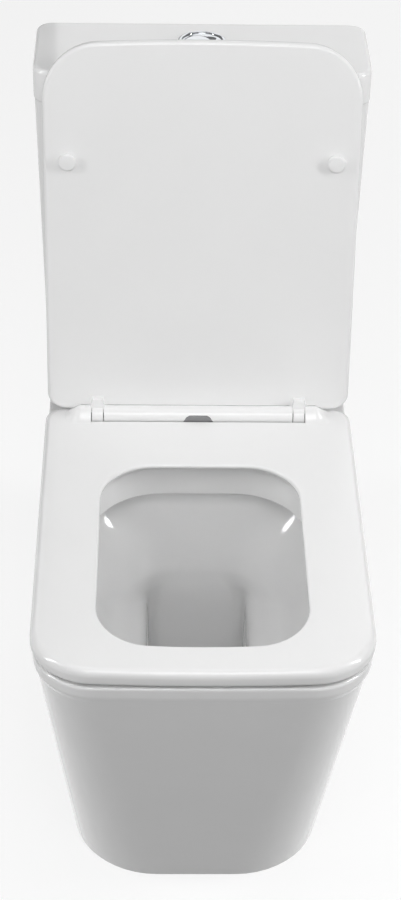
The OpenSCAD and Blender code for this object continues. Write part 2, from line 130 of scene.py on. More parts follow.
@dataclass(frozen=True)
class Finish:
    """A real material and how its surface was made.

    The colour drifts between two near tones over drift_mm, the gloss varies a little with it,
    and the relief has features relief_mm apart and depth_mm deep.
    """

    name: str
    slot: str
    tone: str
    low_tone: str
    texture: Texture
    drift_mm: float
    relief_mm: float
    depth_mm: float
    gloss: tuple[float, float]
    ior: float = 1.5
    metallic: float = 0.0
    coat: float = 0.0
    subsurface: float = 0.0

    def build(self) -> bpy.types.Material:
        """Make the material's nodes and return the material."""
        material = bpy.data.materials.new(self.name)
        material.use_nodes = True
        tree = material.node_tree
        tree.nodes.clear()
        place = add_node(tree, "ShaderNodeTexCoord", {}, {}).outputs["Object"]
        drift = add_node(
            tree,
            "ShaderNodeTexNoise",
            {},
            {"Vector": place, "Scale": 1 / (self.drift_mm * MM), "Detail": 3.0, "Roughness": 0.55},
        )
        colour = add_node(
            tree,
            "ShaderNodeMix",
            {"data_type": "RGBA"},
            {"Factor": drift.outputs["Fac"], "A": linear(self.low_tone), "B": linear(self.tone)},
        )
        rough = add_node(
            tree,
            "ShaderNodeMapRange",
            {},
            {"Value": drift.outputs["Fac"], "To Min": self.gloss[0], "To Max": self.gloss[1]},
        )
        shader = add_node(
            tree,
            "ShaderNodeBsdfPrincipled",
            {},
            {
                "Base Color": colour.outputs["Result"],
                "Roughness": rough.outputs["Result"],
                "Metallic": self.metallic,
                "Coat Weight": self.coat,
                "Coat Roughness": 0.03,
                "Normal": self.relief(tree, place),
            },
        )
        if self.metallic < 0.5:
            shader.inputs["IOR"].default_value = self.ior
        if self.subsurface > 0:
            shader.inputs["Subsurface Weight"].default_value = self.subsurface
            shader.inputs["Subsurface Radius"].default_value = (1.0, 0.97, 0.94)
            shader.inputs["Subsurface Scale"].default_value = 0.003
        add_node(tree, "ShaderNodeOutputMaterial", {}, {"Surface": shader.outputs["BSDF"]})
        return material

    def relief(self, tree: bpy.types.NodeTree, place: bpy.types.NodeSocket) -> bpy.types.NodeSocket:
        """Make the fine relief.

        Args:
            tree: The material's node tree.
            place: The coordinates that the relief follows.

        Returns:
            The bumped normal.
        """
        scale = 1 / (self.relief_mm * MM)
        if self.texture is Texture.ROLLED:
            place = add_node(
                tree, "ShaderNodeMapping", {}, {"Vector": place, "Scale": (1.0, 1.0, 0.12)}
            ).outputs["Vector"]
        if self.texture is Texture.SPARKED:
            grain = add_node(
                tree, "ShaderNodeTexVoronoi", {"feature": "SMOOTH_F1"}, {"Vector": place, "Scale": scale}
            ).outputs["Distance"]
        else:
            detail = 5.0 if self.texture is Texture.BISQUE else 1.0
            grain = add_node(
                tree, "ShaderNodeTexNoise", {}, {"Vector": place, "Scale": scale, "Detail": detail}
            ).outputs["Fac"]
        return add_node(
            tree, "ShaderNodeBump", {}, {"Height": grain, "Strength": 1.0, "Distance": self.depth_mm * MM}
        ).outputs["Normal"]


# Vitreous china under a fired tin-white glaze: deep gloss, soft ripple, a trace of warm drift.
CHINA = Finish(
    "vitreous_china_white_glaze", "vitreous_china", "#f5f5f5", "#f1f1f1", Texture.RIPPLE,
    drift_mm=60, relief_mm=26, depth_mm=0.035, gloss=(0.05, 0.09), ior=1.52, coat=0.35, subsurface=0.04,
)
# The same clay where the glaze isn't sprayed, inside the castings: matt, warm and sandy.
BISQUE = Finish(
    "vitreous_china_unglazed", "vitreous_china", "#ded9d0", "#cfc8bc", Texture.BISQUE,
    drift_mm=35, relief_mm=3, depth_mm=0.12, gloss=(0.75, 0.9), ior=1.5,
)
# Pressed urea thermoset: polished mould gloss, a shade whiter and drier than the glaze.
DUROPLAST = Finish(
    "duroplast_pressed_gloss", "duroplast", "#f4f4f4", "#f1f1f1", Texture.MOULDED,
    drift_mm=80, relief_mm=18, depth_mm=0.008, gloss=(0.14, 0.2), ior=1.55, coat=0.1,
)
# Soft-touch thermoplastic of the stops: white, slightly waxy.
BUFFER = Finish(
    "tpe_moulded_white", "buffer_plastic", "#f2f2f2", "#ededed", Texture.MOULDED,
    drift_mm=12, relief_mm=2, depth_mm=0.01, gloss=(0.28, 0.36), ior=1.48, subsurface=0.1,
)
# Bright chromium over polished brass or ABS: mirror with the faintest haze.
CHROME = Finish(
    "chrome_plate_bright", "chrome_plate", "#d9dbde", "#cfd2d6", Texture.MOULDED,
    drift_mm=14, relief_mm=9, depth_mm=0.004, gloss=(0.04, 0.09), metallic=1.0,
)
# Mid grey ABS with a spark-eroded face; the 0.35 mm grain is drawn at its real size.
GREY_ABS = Finish(
    "abs_moulded_grey", "grey_abs", "#8f8f90", "#868788", Texture.SPARKED,
    drift_mm=20, relief_mm=0.7, depth_mm=0.02, gloss=(0.42, 0.52), ior=1.53,
)
# Natural white polypropylene of the cistern fittings: satin, a little see-into.
POLYPROPYLENE = Finish(
    "polypropylene_moulded_white", "white_polypropylene", "#e6e8ea", "#dcdfe1", Texture.MOULDED,
    drift_mm=25, relief_mm=4, depth_mm=0.03, gloss=(0.34, 0.46), ior=1.49, subsurface=0.15,
)
# Blue acetal of the valve's moving parts: slick and dense.
ACETAL = Finish(
    "acetal_moulded_blue", "blue_acetal", "#5b7fa6", "#52759c", Texture.MOULDED,
    drift_mm=20, relief_mm=3, depth_mm=0.02, gloss=(0.28, 0.36), ior=1.48,
)
# Black EPDM rubber of the seals: matt, with a grey bloom.
RUBBER = Finish(
    "epdm_rubber_black", "black_rubber", "#303135", "#25262a", Texture.SPARKED,
    drift_mm=10, relief_mm=1.2, depth_mm=0.04, gloss=(0.62, 0.78), ior=1.5,
)
# Drawn stainless rod and wire: fine lines along the draw.
STAINLESS = Finish(
    "stainless_steel_drawn", "stainless_steel", "#c3c5c7", "#b2b5b8", Texture.ROLLED,
    drift_mm=8, relief_mm=0.6, depth_mm=0.01, gloss=(0.22, 0.34), metallic=1.0,
)

# Which finish each slot of the record takes on a node that stays as CAD made it.
SLOT_FINISH = {
    f.slot: f
    for f in (CHINA, DUROPLAST, BUFFER, CHROME, GREY_ABS, POLYPROPYLENE, ACETAL, RUBBER, STAINLESS)
}


class Paintbox:
    """Builds each finish once and hands it out."""

    def __init__(self) -> None:
        """Start with nothing built."""
        self._made: dict[str, bpy.types.Material] = {}

    def get(self, finish: Finish) -> bpy.types.Material:
        """Return the finish's material, built at its first use.

        Args:
            finish: The finish wanted.

        Returns:
            Its material.
        """
        if finish.name not in self._made:
            self._made[finish.name] = finish.build()
        return self._made[finish.name]


# ---------------------------------------------------------------- modelling tools


@dataclass(frozen=True)
class Outline:
    """A rounded rectangle seen from above, whose front edge may be crowned by bow."""

    z: float
    half_w: float
    back: float
    front: float
    r_back: float
    r_front: float
    bow: float = 0.0


def between(rows: list[Outline], steps: int) -> list[Outline]:
    """Put smooth in-between outlines into a run of outlines.

    Args:
        rows: Outlines in order of height.
        steps: How many spans each gap is cut into.

    Returns:
        The outlines with the new ones among them.
    """
    values = [[r.z, r.half_w, r.back, r.front, r.r_back, r.r_front, r.bow] for r in rows]
    made = []
    for i in range(len(values) - 1):
        before, a, b = values[max(i - 1, 0)], values[i], values[i + 1]
        after = values[min(i + 2, len(values) - 1)]
        for s in range(steps):
            t = s / steps
            mixed = []
            for k in range(7):
                lead, trail = (b[k] - before[k]) / 2, (after[k] - a[k]) / 2
                h0, h1 = 2 * t**3 - 3 * t**2 + 1, t**3 - 2 * t**2 + t
                h2, h3 = 3 * t**2 - 2 * t**3, t**3 - t**2
                smooth = h0 * a[k] + h1 * lead + h2 * b[k] + h3 * trail
                mixed.append(a[k] + (b[k] - a[k]) * t if k == 0 else smooth)
            made.append(Outline(*mixed))
    return made + [rows[-1]]


class Workpiece:
    """One mesh under the tools, in edit mode until it is taken off the bench."""

    def __init__(self, name: str) -> None:
        """Put an empty mesh on the bench.

        Args:
            name: The piece's name.
        """
        bpy.ops.object.select_all(action="DESELECT")
        bpy.ops.mesh.primitive_plane_add(size=1)
        self.obj = bpy.context.active_object
        self.obj.name = self.obj.data.name = name
        bpy.ops.object.mode_set(mode="EDIT")
        bpy.ops.mesh.delete(type="VERT")
        self.rings = 0

    # -- choosing

    def mesh(self) -> bmesh.types.BMesh:
        """Return the mesh as the edit-mode tools see it."""
        return bmesh.from_edit_mesh(self.obj.data)

    def pick(self, kind: str, chosen: Callable[[object], bool]) -> int:
        """Select what passes a test, and nothing else.

        Args:
            kind: VERT, EDGE or FACE.
            chosen: The test.

        Returns:
            How many passed.
        """
        bpy.ops.mesh.select_mode(type=kind)
        bpy.ops.mesh.select_all(action="DESELECT")
        bm = self.mesh()
        items = {"VERT": bm.verts, "EDGE": bm.edges, "FACE": bm.faces}[kind]
        count = 0
        for item in items:
            if chosen(item):
                item.select = True
                count += 1
        bm.select_flush_mode()
        bmesh.update_edit_mesh(self.obj.data)
        return count

    def pick_lowest(self) -> None:
        """Select the lowest face."""
        low = min(v.co.z for v in self.mesh().verts)
        self.pick("FACE", lambda f: all(abs(v.co.z - low) < 0.00001 for v in f.verts))

    def pick_level(self, z: float, kind: str = "EDGE", reach: float = 0.05) -> int:
        """Select the edges or faces that lie at one height, in millimetres."""
        spread = lambda item: all(abs(v.co.z - z * MM) < reach * MM for v in item.verts)
        return self.pick(kind, spread)

    # -- making outlines

    def ring(self, shape: Outline, keep_face: bool = False, segments: int = 12, cuts: int = 9) -> int:
        """Add one outline as a loop of edges.

        Args:
            shape: The outline.
            keep_face: Leave it filled.
            segments: Steps round each corner.
            cuts: Points along the front edge.

        Returns:
            The ring's number.
        """
        back, front, z = WALL_Y - shape.back * MM, WALL_Y - shape.front * MM, shape.z * MM
        half, middle = shape.half_w * MM, (back + front) / 2
        bpy.ops.mesh.select_mode(type="VERT")
        bpy.ops.mesh.select_all(action="DESELECT")
        bpy.ops.mesh.primitive_plane_add(size=1, location=(0, middle, z))
        bpy.ops.transform.resize(value=(2 * half, back - front, 1), center_override=(0, middle, z))
        bm = self.mesh()
        mark = bm.verts.layers.int.get("ring") or bm.verts.layers.int.new("ring")
        bmesh.update_edit_mesh(self.obj.data)
        for at, radius in ((back, shape.r_back), (front, shape.r_front)):
            self.pick("VERT", lambda v: v[mark] == 0 and abs(v.co.y - at) < 1e-6)
            bpy.ops.mesh.bevel(offset=radius * MM, segments=segments, affect="VERTICES", clamp_overlap=False)
            mark = self.mesh().verts.layers.int.get("ring")
        if cuts:
            self.pick("EDGE", lambda e: all(v[mark] == 0 and abs(v.co.y - front) < 1e-6 for v in e.verts))
            bpy.ops.mesh.subdivide(number_cuts=cuts)
            mark = self.mesh().verts.layers.int.get("ring")
        if not keep_face:
            self.pick("FACE", lambda f: all(v[mark] == 0 for v in f.verts))
            bpy.ops.mesh.delete(type="ONLY_FACE")
        self.rings += 1
        bm = self.mesh()
        mark = bm.verts.layers.int.get("ring")
        for v in bm.verts:
            if v[mark] == 0:
                v[mark] = self.rings
                if v.co.y < middle:
                    v.co.y += shape.bow * MM * (v.co.x / half) ** 2
        bmesh.update_edit_mesh(self.obj.data)
        return self.rings

    def walk(self, bm: bmesh.types.BMesh, number: int) -> list[bmesh.types.BMVert]:
        """Return a ring's points in order, from its right back corner round by the front.

        Args:
            bm: The mesh as the tools see it.
            number: The ring's number.

        Returns:
            The points.
        """
        mark = bm.verts.layers.int.get("ring")
        points = [v for v in bm.verts if v[mark] == number]
        back = max(v.co.y for v in points)
        start = max((v for v in points if v.co.y > back - 1e-6), key=lambda v: v.co.x)
        near = lambda v: [
            e.other_vert(v) for e in v.link_edges if e.other_vert(v)[mark] == number
        ]
        ordered = [start, max(near(start), key=lambda v: v.co.x)]
        while len(ordered) < len(points):
            ordered.append(next(v for v in near(ordered[-1]) if v is not ordered[-2]))
        return ordered

    def bridge(self, a: int, b: int) -> None:
        """Skin the gap between two rings, point to point.

        The bridge tool turns rings of different corner radius against each other, so the
        faces are laid here one by one.

        Args:
            a: One ring's number.
            b: The other's.
        """
        bm = self.mesh()
        first, second = self.walk(bm, a), self.walk(bm, b)
        for i in range(len(first)):
            k = (i + 1) % len(first)
            bm.faces.new((first[i], first[k], second[k], second[i]))
        bmesh.update_edit_mesh(self.obj.data)

    def loft(self, shapes: list[Outline], floor: bool = False, roof: bool = False) -> list[int]:
        """Skin through a run of outlines.

        Args:
            shapes: The outlines in order.
            floor: Close the first one.
            roof: Close the last one.

        Returns:
            The rings' numbers.
        """
        made = []
        for i, shape in enumerate(shapes):
            closed = (floor and i == 0) or (roof and i == len(shapes) - 1)
            made.append(self.ring(shape, keep_face=closed))
            if i:
                self.bridge(made[-2], made[-1])
        return made

    # -- shaping

    def round_over(self, radius: float, segments: int = 5) -> None:
        """Round the selected edges by a radius in millimetres."""
        bpy.ops.mesh.bevel(offset=radius * MM, segments=segments, affect="EDGES", clamp_overlap=True)

    def extrude(self, x: float = 0.0, y: float = 0.0, z: float = 0.0) -> None:
        """Pull the selection out by a step in millimetres."""
        bpy.ops.mesh.extrude_region_move(TRANSFORM_OT_translate={"value": (x * MM, y * MM, z * MM)})

    # -- leaving the bench

    def off(self, smooth: float = 35.0) -> bpy.types.Object:
        """Take the piece off the bench with clean normals and smooth shading.

        Args:
            smooth: Edges sharper than this many degrees stay crisp.

        Returns:
            The finished object.
        """
        bpy.ops.mesh.select_all(action="SELECT")
        bpy.ops.mesh.remove_doubles(threshold=0.00002)
        bpy.ops.mesh.normals_make_consistent(inside=False)
        widest = max(self.mesh().faces, key=lambda f: f.calc_center_median().x)
        if widest.normal.x < 0:
            bpy.ops.mesh.flip_normals()
        bpy.ops.object.mode_set(mode="OBJECT")
        bpy.ops.object.shade_smooth_by_angle(angle=math.radians(smooth))
        return self.obj


def apply_modifier(obj: bpy.types.Object, kind: str, settings: dict[str, object]) -> None:
    """Add one modifier and apply it.

    Args:
        obj: The piece.
        kind: The modifier's type name.
        settings: Its attributes.
    """
    bpy.ops.object.select_all(action="DESELECT")
    obj.select_set(True)
    bpy.context.view_layer.objects.active = obj
    modifier = obj.modifiers.new(kind.lower(), kind)
    for key, value in settings.items():
        setattr(modifier, key, value)
    bpy.ops.object.modifier_apply(modifier=modifier.name)


def give_wall(obj: bpy.types.Object, thickness: float, even: bool = False) -> None:
    """Thicken a skin inward, with the inner side in the second material slot.

    Args:
        obj: The skin, with its normals outward.
        thickness: The wall in millimetres.
        even: Keep the thickness even where the skin bends sharply.
    """
    while len(obj.data.materials) < 2:
        obj.data.materials.append(None)
    wall = {"thickness": thickness * MM, "offset": -1.0, "material_offset": 1, "use_quality_normals": even}
    apply_modifier(obj, "SOLIDIFY", wall)


def even_shading(obj: bpy.types.Object) -> None:
    """Let broad faces keep their own shading beside their rounded edges."""
    apply_modifier(obj, "WEIGHTED_NORMAL", {"keep_sharp": True, "weight": 90})


def cut(obj: bpy.types.Object, tool: bpy.types.Object) -> None:
    """Cut a tool's shape out of a piece, and put the tool away.

    Args:
        obj: The piece.
        tool: The closed shape that is removed.
    """
    apply_modifier(obj, "BOOLEAN", {"operation": "DIFFERENCE", "object": tool, "solver": "EXACT"})
    bpy.data.objects.remove(tool)


def round_bar(
    name: str,
    radius: float,
    length: float,
    centre: Vector,
    axis: str = "Z",
    edge: float = 0.0,
    sides: int = 64,
) -> bpy.types.Object:
    """Turn a round bar with softened ends.

    Args:
        name: The piece's name.
        radius: Its radius in millimetres.
        length: Its length in millimetres.
        centre: Its middle, in metres.
        axis: The axis it lies along, X, Y or Z.
        edge: Radius of its end edges in millimetres.
        sides: Steps round it.

    Returns:
        The bar, with its place in its mesh.
    """
    turn = {"X": (0, math.pi / 2, 0), "Y": (math.pi / 2, 0, 0), "Z": (0, 0, 0)}[axis]
    bpy.ops.object.select_all(action="DESELECT")
    bpy.ops.mesh.primitive_cylinder_add(
        vertices=sides, radius=radius * MM, depth=length * MM, location=centre, rotation=turn
    )
    bar = bpy.context.active_object
    bar.name = bar.data.name = name
    bpy.ops.object.transform_apply(location=True, rotation=True, scale=True)
    if edge:
        bpy.ops.object.mode_set(mode="EDIT")
        bpy.ops.mesh.select_mode(type="EDGE")
        bpy.ops.mesh.select_all(action="DESELECT")
        bm = bmesh.from_edit_mesh(bar.data)
        for e in bm.edges:
            e.select = any(len(f.verts) > 4 for f in e.link_faces)
        bmesh.update_edit_mesh(bar.data)
        bpy.ops.mesh.bevel(offset=edge * MM, segments=4, affect="EDGES")
        bpy.ops.object.mode_set(mode="OBJECT")
    bpy.ops.object.shade_smooth_by_angle(angle=math.radians(40))
    return bar


def join(main: bpy.types.Object, *others: bpy.types.Object) -> bpy.types.Object:
    """Make several meshes one piece.

    Args:
        main: The piece that keeps its name.
        others: What joins it.

    Returns:
        The joined piece.
    """
    bpy.ops.object.select_all(action="DESELECT")
    for o in (main, *others):
        o.select_set(True)
    bpy.context.view_layer.objects.active = main
    bpy.ops.object.join()
    return main


@dataclass
class Assembly:
    """What every sub-assembly shares: the paints, and how a finished piece is handed over."""

    paints: Paintbox

    def hand_over(
        self, piece: bpy.types.Object, body: str, finishes: list[Finish], nodes: tuple[str, ...] = ()
    ) -> bpy.types.Object:
        """Paint a piece, fix it to its body, and let it stand for CAD nodes.

        Args:
            piece: The finished mesh.
            body: The body it moves with.
            finishes: One finish per material slot of the piece.
            nodes: The CAD nodes that it replaces.

        Returns:
            The piece.
        """
        slots = piece.data.materials
        while len(slots) < len(finishes):
            slots.append(None)
        for index, finish in enumerate(finishes):
            slots[index] = self.paints.get(finish)
        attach(piece, body)
        if nodes:
            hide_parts(*nodes)
        log.info("%s: %d faces on %s", piece.name, len(piece.data.polygons), body)
        return piece


# ---------------------------------------------------------------- ceramics


@dataclass
class Pan(Assembly):
    """The cast pan: tapering skirt, rim shelf, bowl, and the trap inside its open back."""

    spigot_r: float
    wall: float = 11.0
    outside: list[Outline] = field(
        default_factory=lambda: [
            Outline(0, 144, 0, 528, 14, 98, 1),
            Outline(380, 172.7, 0, 646.6, 14, 66, 2),
            Outline(389, 175.7, 0, 650.7, 14, 64, 3),
            Outline(403, 176, 0, 651, 14, 64, 3),
        ]
    )
    mouth: list[Outline] = field(
        default_factory=lambda: [
            Outline(403, 130, 264, 620, 82, 62, 2),
            Outline(400.5, 124.5, 269.5, 614.5, 82, 60, 2),
            Outline(395, 122, 272, 612, 82, 60, 2),
            Outline(361, 122, 272, 612, 82, 60, 2),
        ]
    )
    bowl: list[Outline] = field(
        default_factory=lambda: [
            Outline(360.8, 150, 246, 625, 84, 68, 2),
            Outline(345, 149, 247, 621, 90, 68, 2),
            Outline(300, 128, 261, 604, 110, 64, 1),
            Outline(262, 100, 279, 574, 82, 52, 1),
            Outline(241, 74, 284, 540, 46, 38, 1),
            Outline(228, 61, 286, 520, 22, 30, 1),
            Outline(212, 58, 287, 502, 16, 26, 1),
            Outline(165, 57, 289, 464, 14, 24, 1),
            Outline(95, 57, 295, 432, 14, 24, 1),
            Outline(66, 50, 300, 408, 14, 24, 1),
        ]
    )
    # What holds the mouth's own edges: half width, and distances from the wall.
    mouth_box: tuple[float, float, float] = (130, 27, 629)
    # Height, radius and steps of each rounded outside edge.
    outside_edges: tuple[tuple[float, float, int], ...] = ((403, 3.5, 5), (380, 3.5, 4), (389, 3, 4))
    way_at: float = 290.0
    way_r: float = 30.0
    way_z: float = 98.0
    spigot_wall: float = 8.0
    # The trap's middle line, as distance from the wall and height.
    trap: tuple[tuple[float, float], ...] = (
        (286, 98), (256, 97), (205, 180), (150, 200), (60, 190), (5, 190),
    )
    opening_half_w: float = 112.0
    opening_top: float = 310.0

    def shell(self) -> bpy.types.Object:
        """Cast the skirt, shelf, rim and bowl in one skin, then give it its wall."""
        work = Workpiece("pan_shell")
        rings = work.loft(self.outside)
        lip = work.loft(self.mouth)
        work.bridge(rings[-1], lip[0])
        throat = work.loft(between(self.bowl, 4), roof=True)
        work.bridge(lip[-1], throat[0])
        for z, radius, steps in self.outside_edges:
            work.pick("EDGE", lambda e, z=z: all(self.is_outside(v, z) for v in e.verts))
            work.round_over(radius, steps)
        work.pick_level(self.mouth[-1].z, reach=0.1)
        work.round_over(2.2, 4)
        self.open_back(work)
        shell = work.off()
        give_wall(shell, self.wall, even=True)
        place = Vector((0, WALL_Y - self.way_at * MM, self.way_z * MM))
        cut(shell, round_bar("way", self.way_r, 60, place, "Y"))
        even_shading(shell)
        return shell

    def is_outside(self, point: bmesh.types.BMVert, z: float) -> bool:
        """Tell whether a point lies on the outside skin at one height, clear of the mouth.

        Args:
            point: The mesh's point.
            z: The height in millimetres.

        Returns:
            True for a point of the skirt or the rim.
        """
        at = point.co
        half_w, near, far = self.mouth_box
        clear = abs(at.x) > half_w * MM or not WALL_Y - far * MM <= at.y <= WALL_Y - near * MM
        return clear and abs(at.z - z * MM) < LEVEL

    def open_back(self, work: Workpiece) -> None:
        """Cut the service opening in the wall side.

        Args:
            work: The pan on the bench.
        """
        flat = lambda f: all(abs(v.co.y - WALL_Y) < LEVEL for v in f.verts)
        half, top = self.opening_half_w * MM, self.opening_top * MM
        across, up = (1, 0, 0), (0, 0, 1)
        for point, normal in (((half, 0, 0), across), ((-half, 0, 0), across), ((0, 0, top), up)):
            work.pick("FACE", flat)
            bpy.ops.mesh.bisect(plane_co=point, plane_no=normal)
        inside = lambda f: flat(f) and abs(f.calc_center_median().x) < half and f.calc_center_median().z < top
        work.pick("FACE", inside)
        bpy.ops.mesh.delete(type="FACE")

    def trapway(self) -> bpy.types.Object:
        """Sweep the trap from the sump over the weir to the spigot."""
        bpy.ops.curve.primitive_bezier_curve_add()
        pipe = bpy.context.active_object
        pipe.name = "pan_trapway"
        line = pipe.data.splines[0]
        line.bezier_points.add(len(self.trap) - 2)
        for point, (distance, z) in zip(line.bezier_points, self.trap):
            point.co = (0, WALL_Y - distance * MM, z * MM)
            point.handle_left_type = point.handle_right_type = "AUTO"
        pipe.data.dimensions = "3D"
        pipe.data.bevel_depth = self.spigot_r * MM
        pipe.data.bevel_resolution = 12
        pipe.data.resolution_u = 10
        bpy.ops.object.convert(target="MESH")
        bpy.ops.object.transform_apply(location=True, rotation=True, scale=True)
        give_wall(pipe, self.spigot_wall)
        bpy.ops.object.shade_smooth_by_angle(angle=math.radians(40))
        return pipe

    def build(self) -> list[bpy.types.Object]:
        """Make the pan's pieces and hand them over."""
        shell = self.hand_over(self.shell(), "ceramics", [CHINA, BISQUE], ("pan",))
        pipe = self.hand_over(self.trapway(), "ceramics", [BISQUE, CHINA])
        return [shell, pipe]


def bezel_distance() -> float:
    """Return how far the frame's button bezel is from the wall, in millimetres."""
    low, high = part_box("button_bezel")
    return round((WALL_Y - (low.y + high.y) / 2) / MM, 3)


@dataclass
class Cistern(Assembly):
    """The slim cistern: a slightly flared tank and its drop-on lid."""

    tank_low: Outline = Outline(409, 177.6, 2, 122.4, 18, 20)
    tank_high: Outline = Outline(785.8, 185, 2, 125, 18, 20)
    lid: Outline = Outline(787.8, 186, 0, 128, 18, 20)
    lid_h: float = 39.2
    tank_wall: float = 11.0
    lid_wall: float = 10.0
    hole_r: float = 25.5

    def tank(self) -> bpy.types.Object:
        """Cast the tank, open at the top."""
        work = Workpiece("cistern_tank_shell")
        rings = [work.ring(self.tank_low, keep_face=True), work.ring(self.tank_high)]
        work.bridge(*rings)
        work.pick_level(self.tank_low.z)
        work.round_over(8, 6)
        tank = work.off()
        give_wall(tank, self.tank_wall)
        even_shading(tank)
        return tank

    def cover(self) -> bpy.types.Object:
        """Cast the lid with its rounded top and the softened edge at the joint."""
        work = Workpiece("cistern_cover")
        work.ring(self.lid, keep_face=True)
        work.pick_level(self.lid.z, "FACE")
        work.extrude(z=self.lid_h)
        work.pick_level(self.lid.z + self.lid_h)
        work.round_over(5, 6)
        work.pick_level(self.lid.z)
        work.round_over(2.5, 4)
        work.pick_level(self.lid.z, "FACE")
        bpy.ops.mesh.delete(type="FACE")
        cover = work.off()
        give_wall(cover, self.lid_wall)
        place = Vector((0, WALL_Y - bezel_distance() * MM, (self.lid.z + self.lid_h) * MM))
        cut(cover, round_bar("button_hole", self.hole_r, 40, place))
        even_shading(cover)
        return cover

    def build(self) -> list[bpy.types.Object]:
        """Make the tank and lid and hand them over."""
        return [
            self.hand_over(self.tank(), "ceramics", [CHINA, BISQUE], ("cistern_tank",)),
            self.hand_over(self.cover(), "ceramics", [CHINA, BISQUE], ("cistern_lid",)),
        ]


# ---------------------------------------------------------------- seat and lid


@dataclass(frozen=True)
class HingeLine:
    """Where the seat and the lid turn, and how far the stored lid stands open."""

    distance: float
    z: float
    lid_angle: float
    radius: float = 11.0

    @classmethod
    def from_joint(cls, joint: dict) -> "HingeLine":
        """Read the line from the lid's joint.

        Args:
            joint: The record's joint, whose lower limit is the closed lid.

        Returns:
            The hinge line.
        """
        _, y, z = joint["pos_m"]
        return cls(distance=round((WALL_Y - y) / MM, 3), z=z / MM, lid_angle=-joint["range_deg"][0])

    def point(self, x: float = 0.0) -> Vector:
        """Return the point of the hinge line at x millimetres."""
        return Vector((x * MM, WALL_Y - self.distance * MM, self.z * MM))


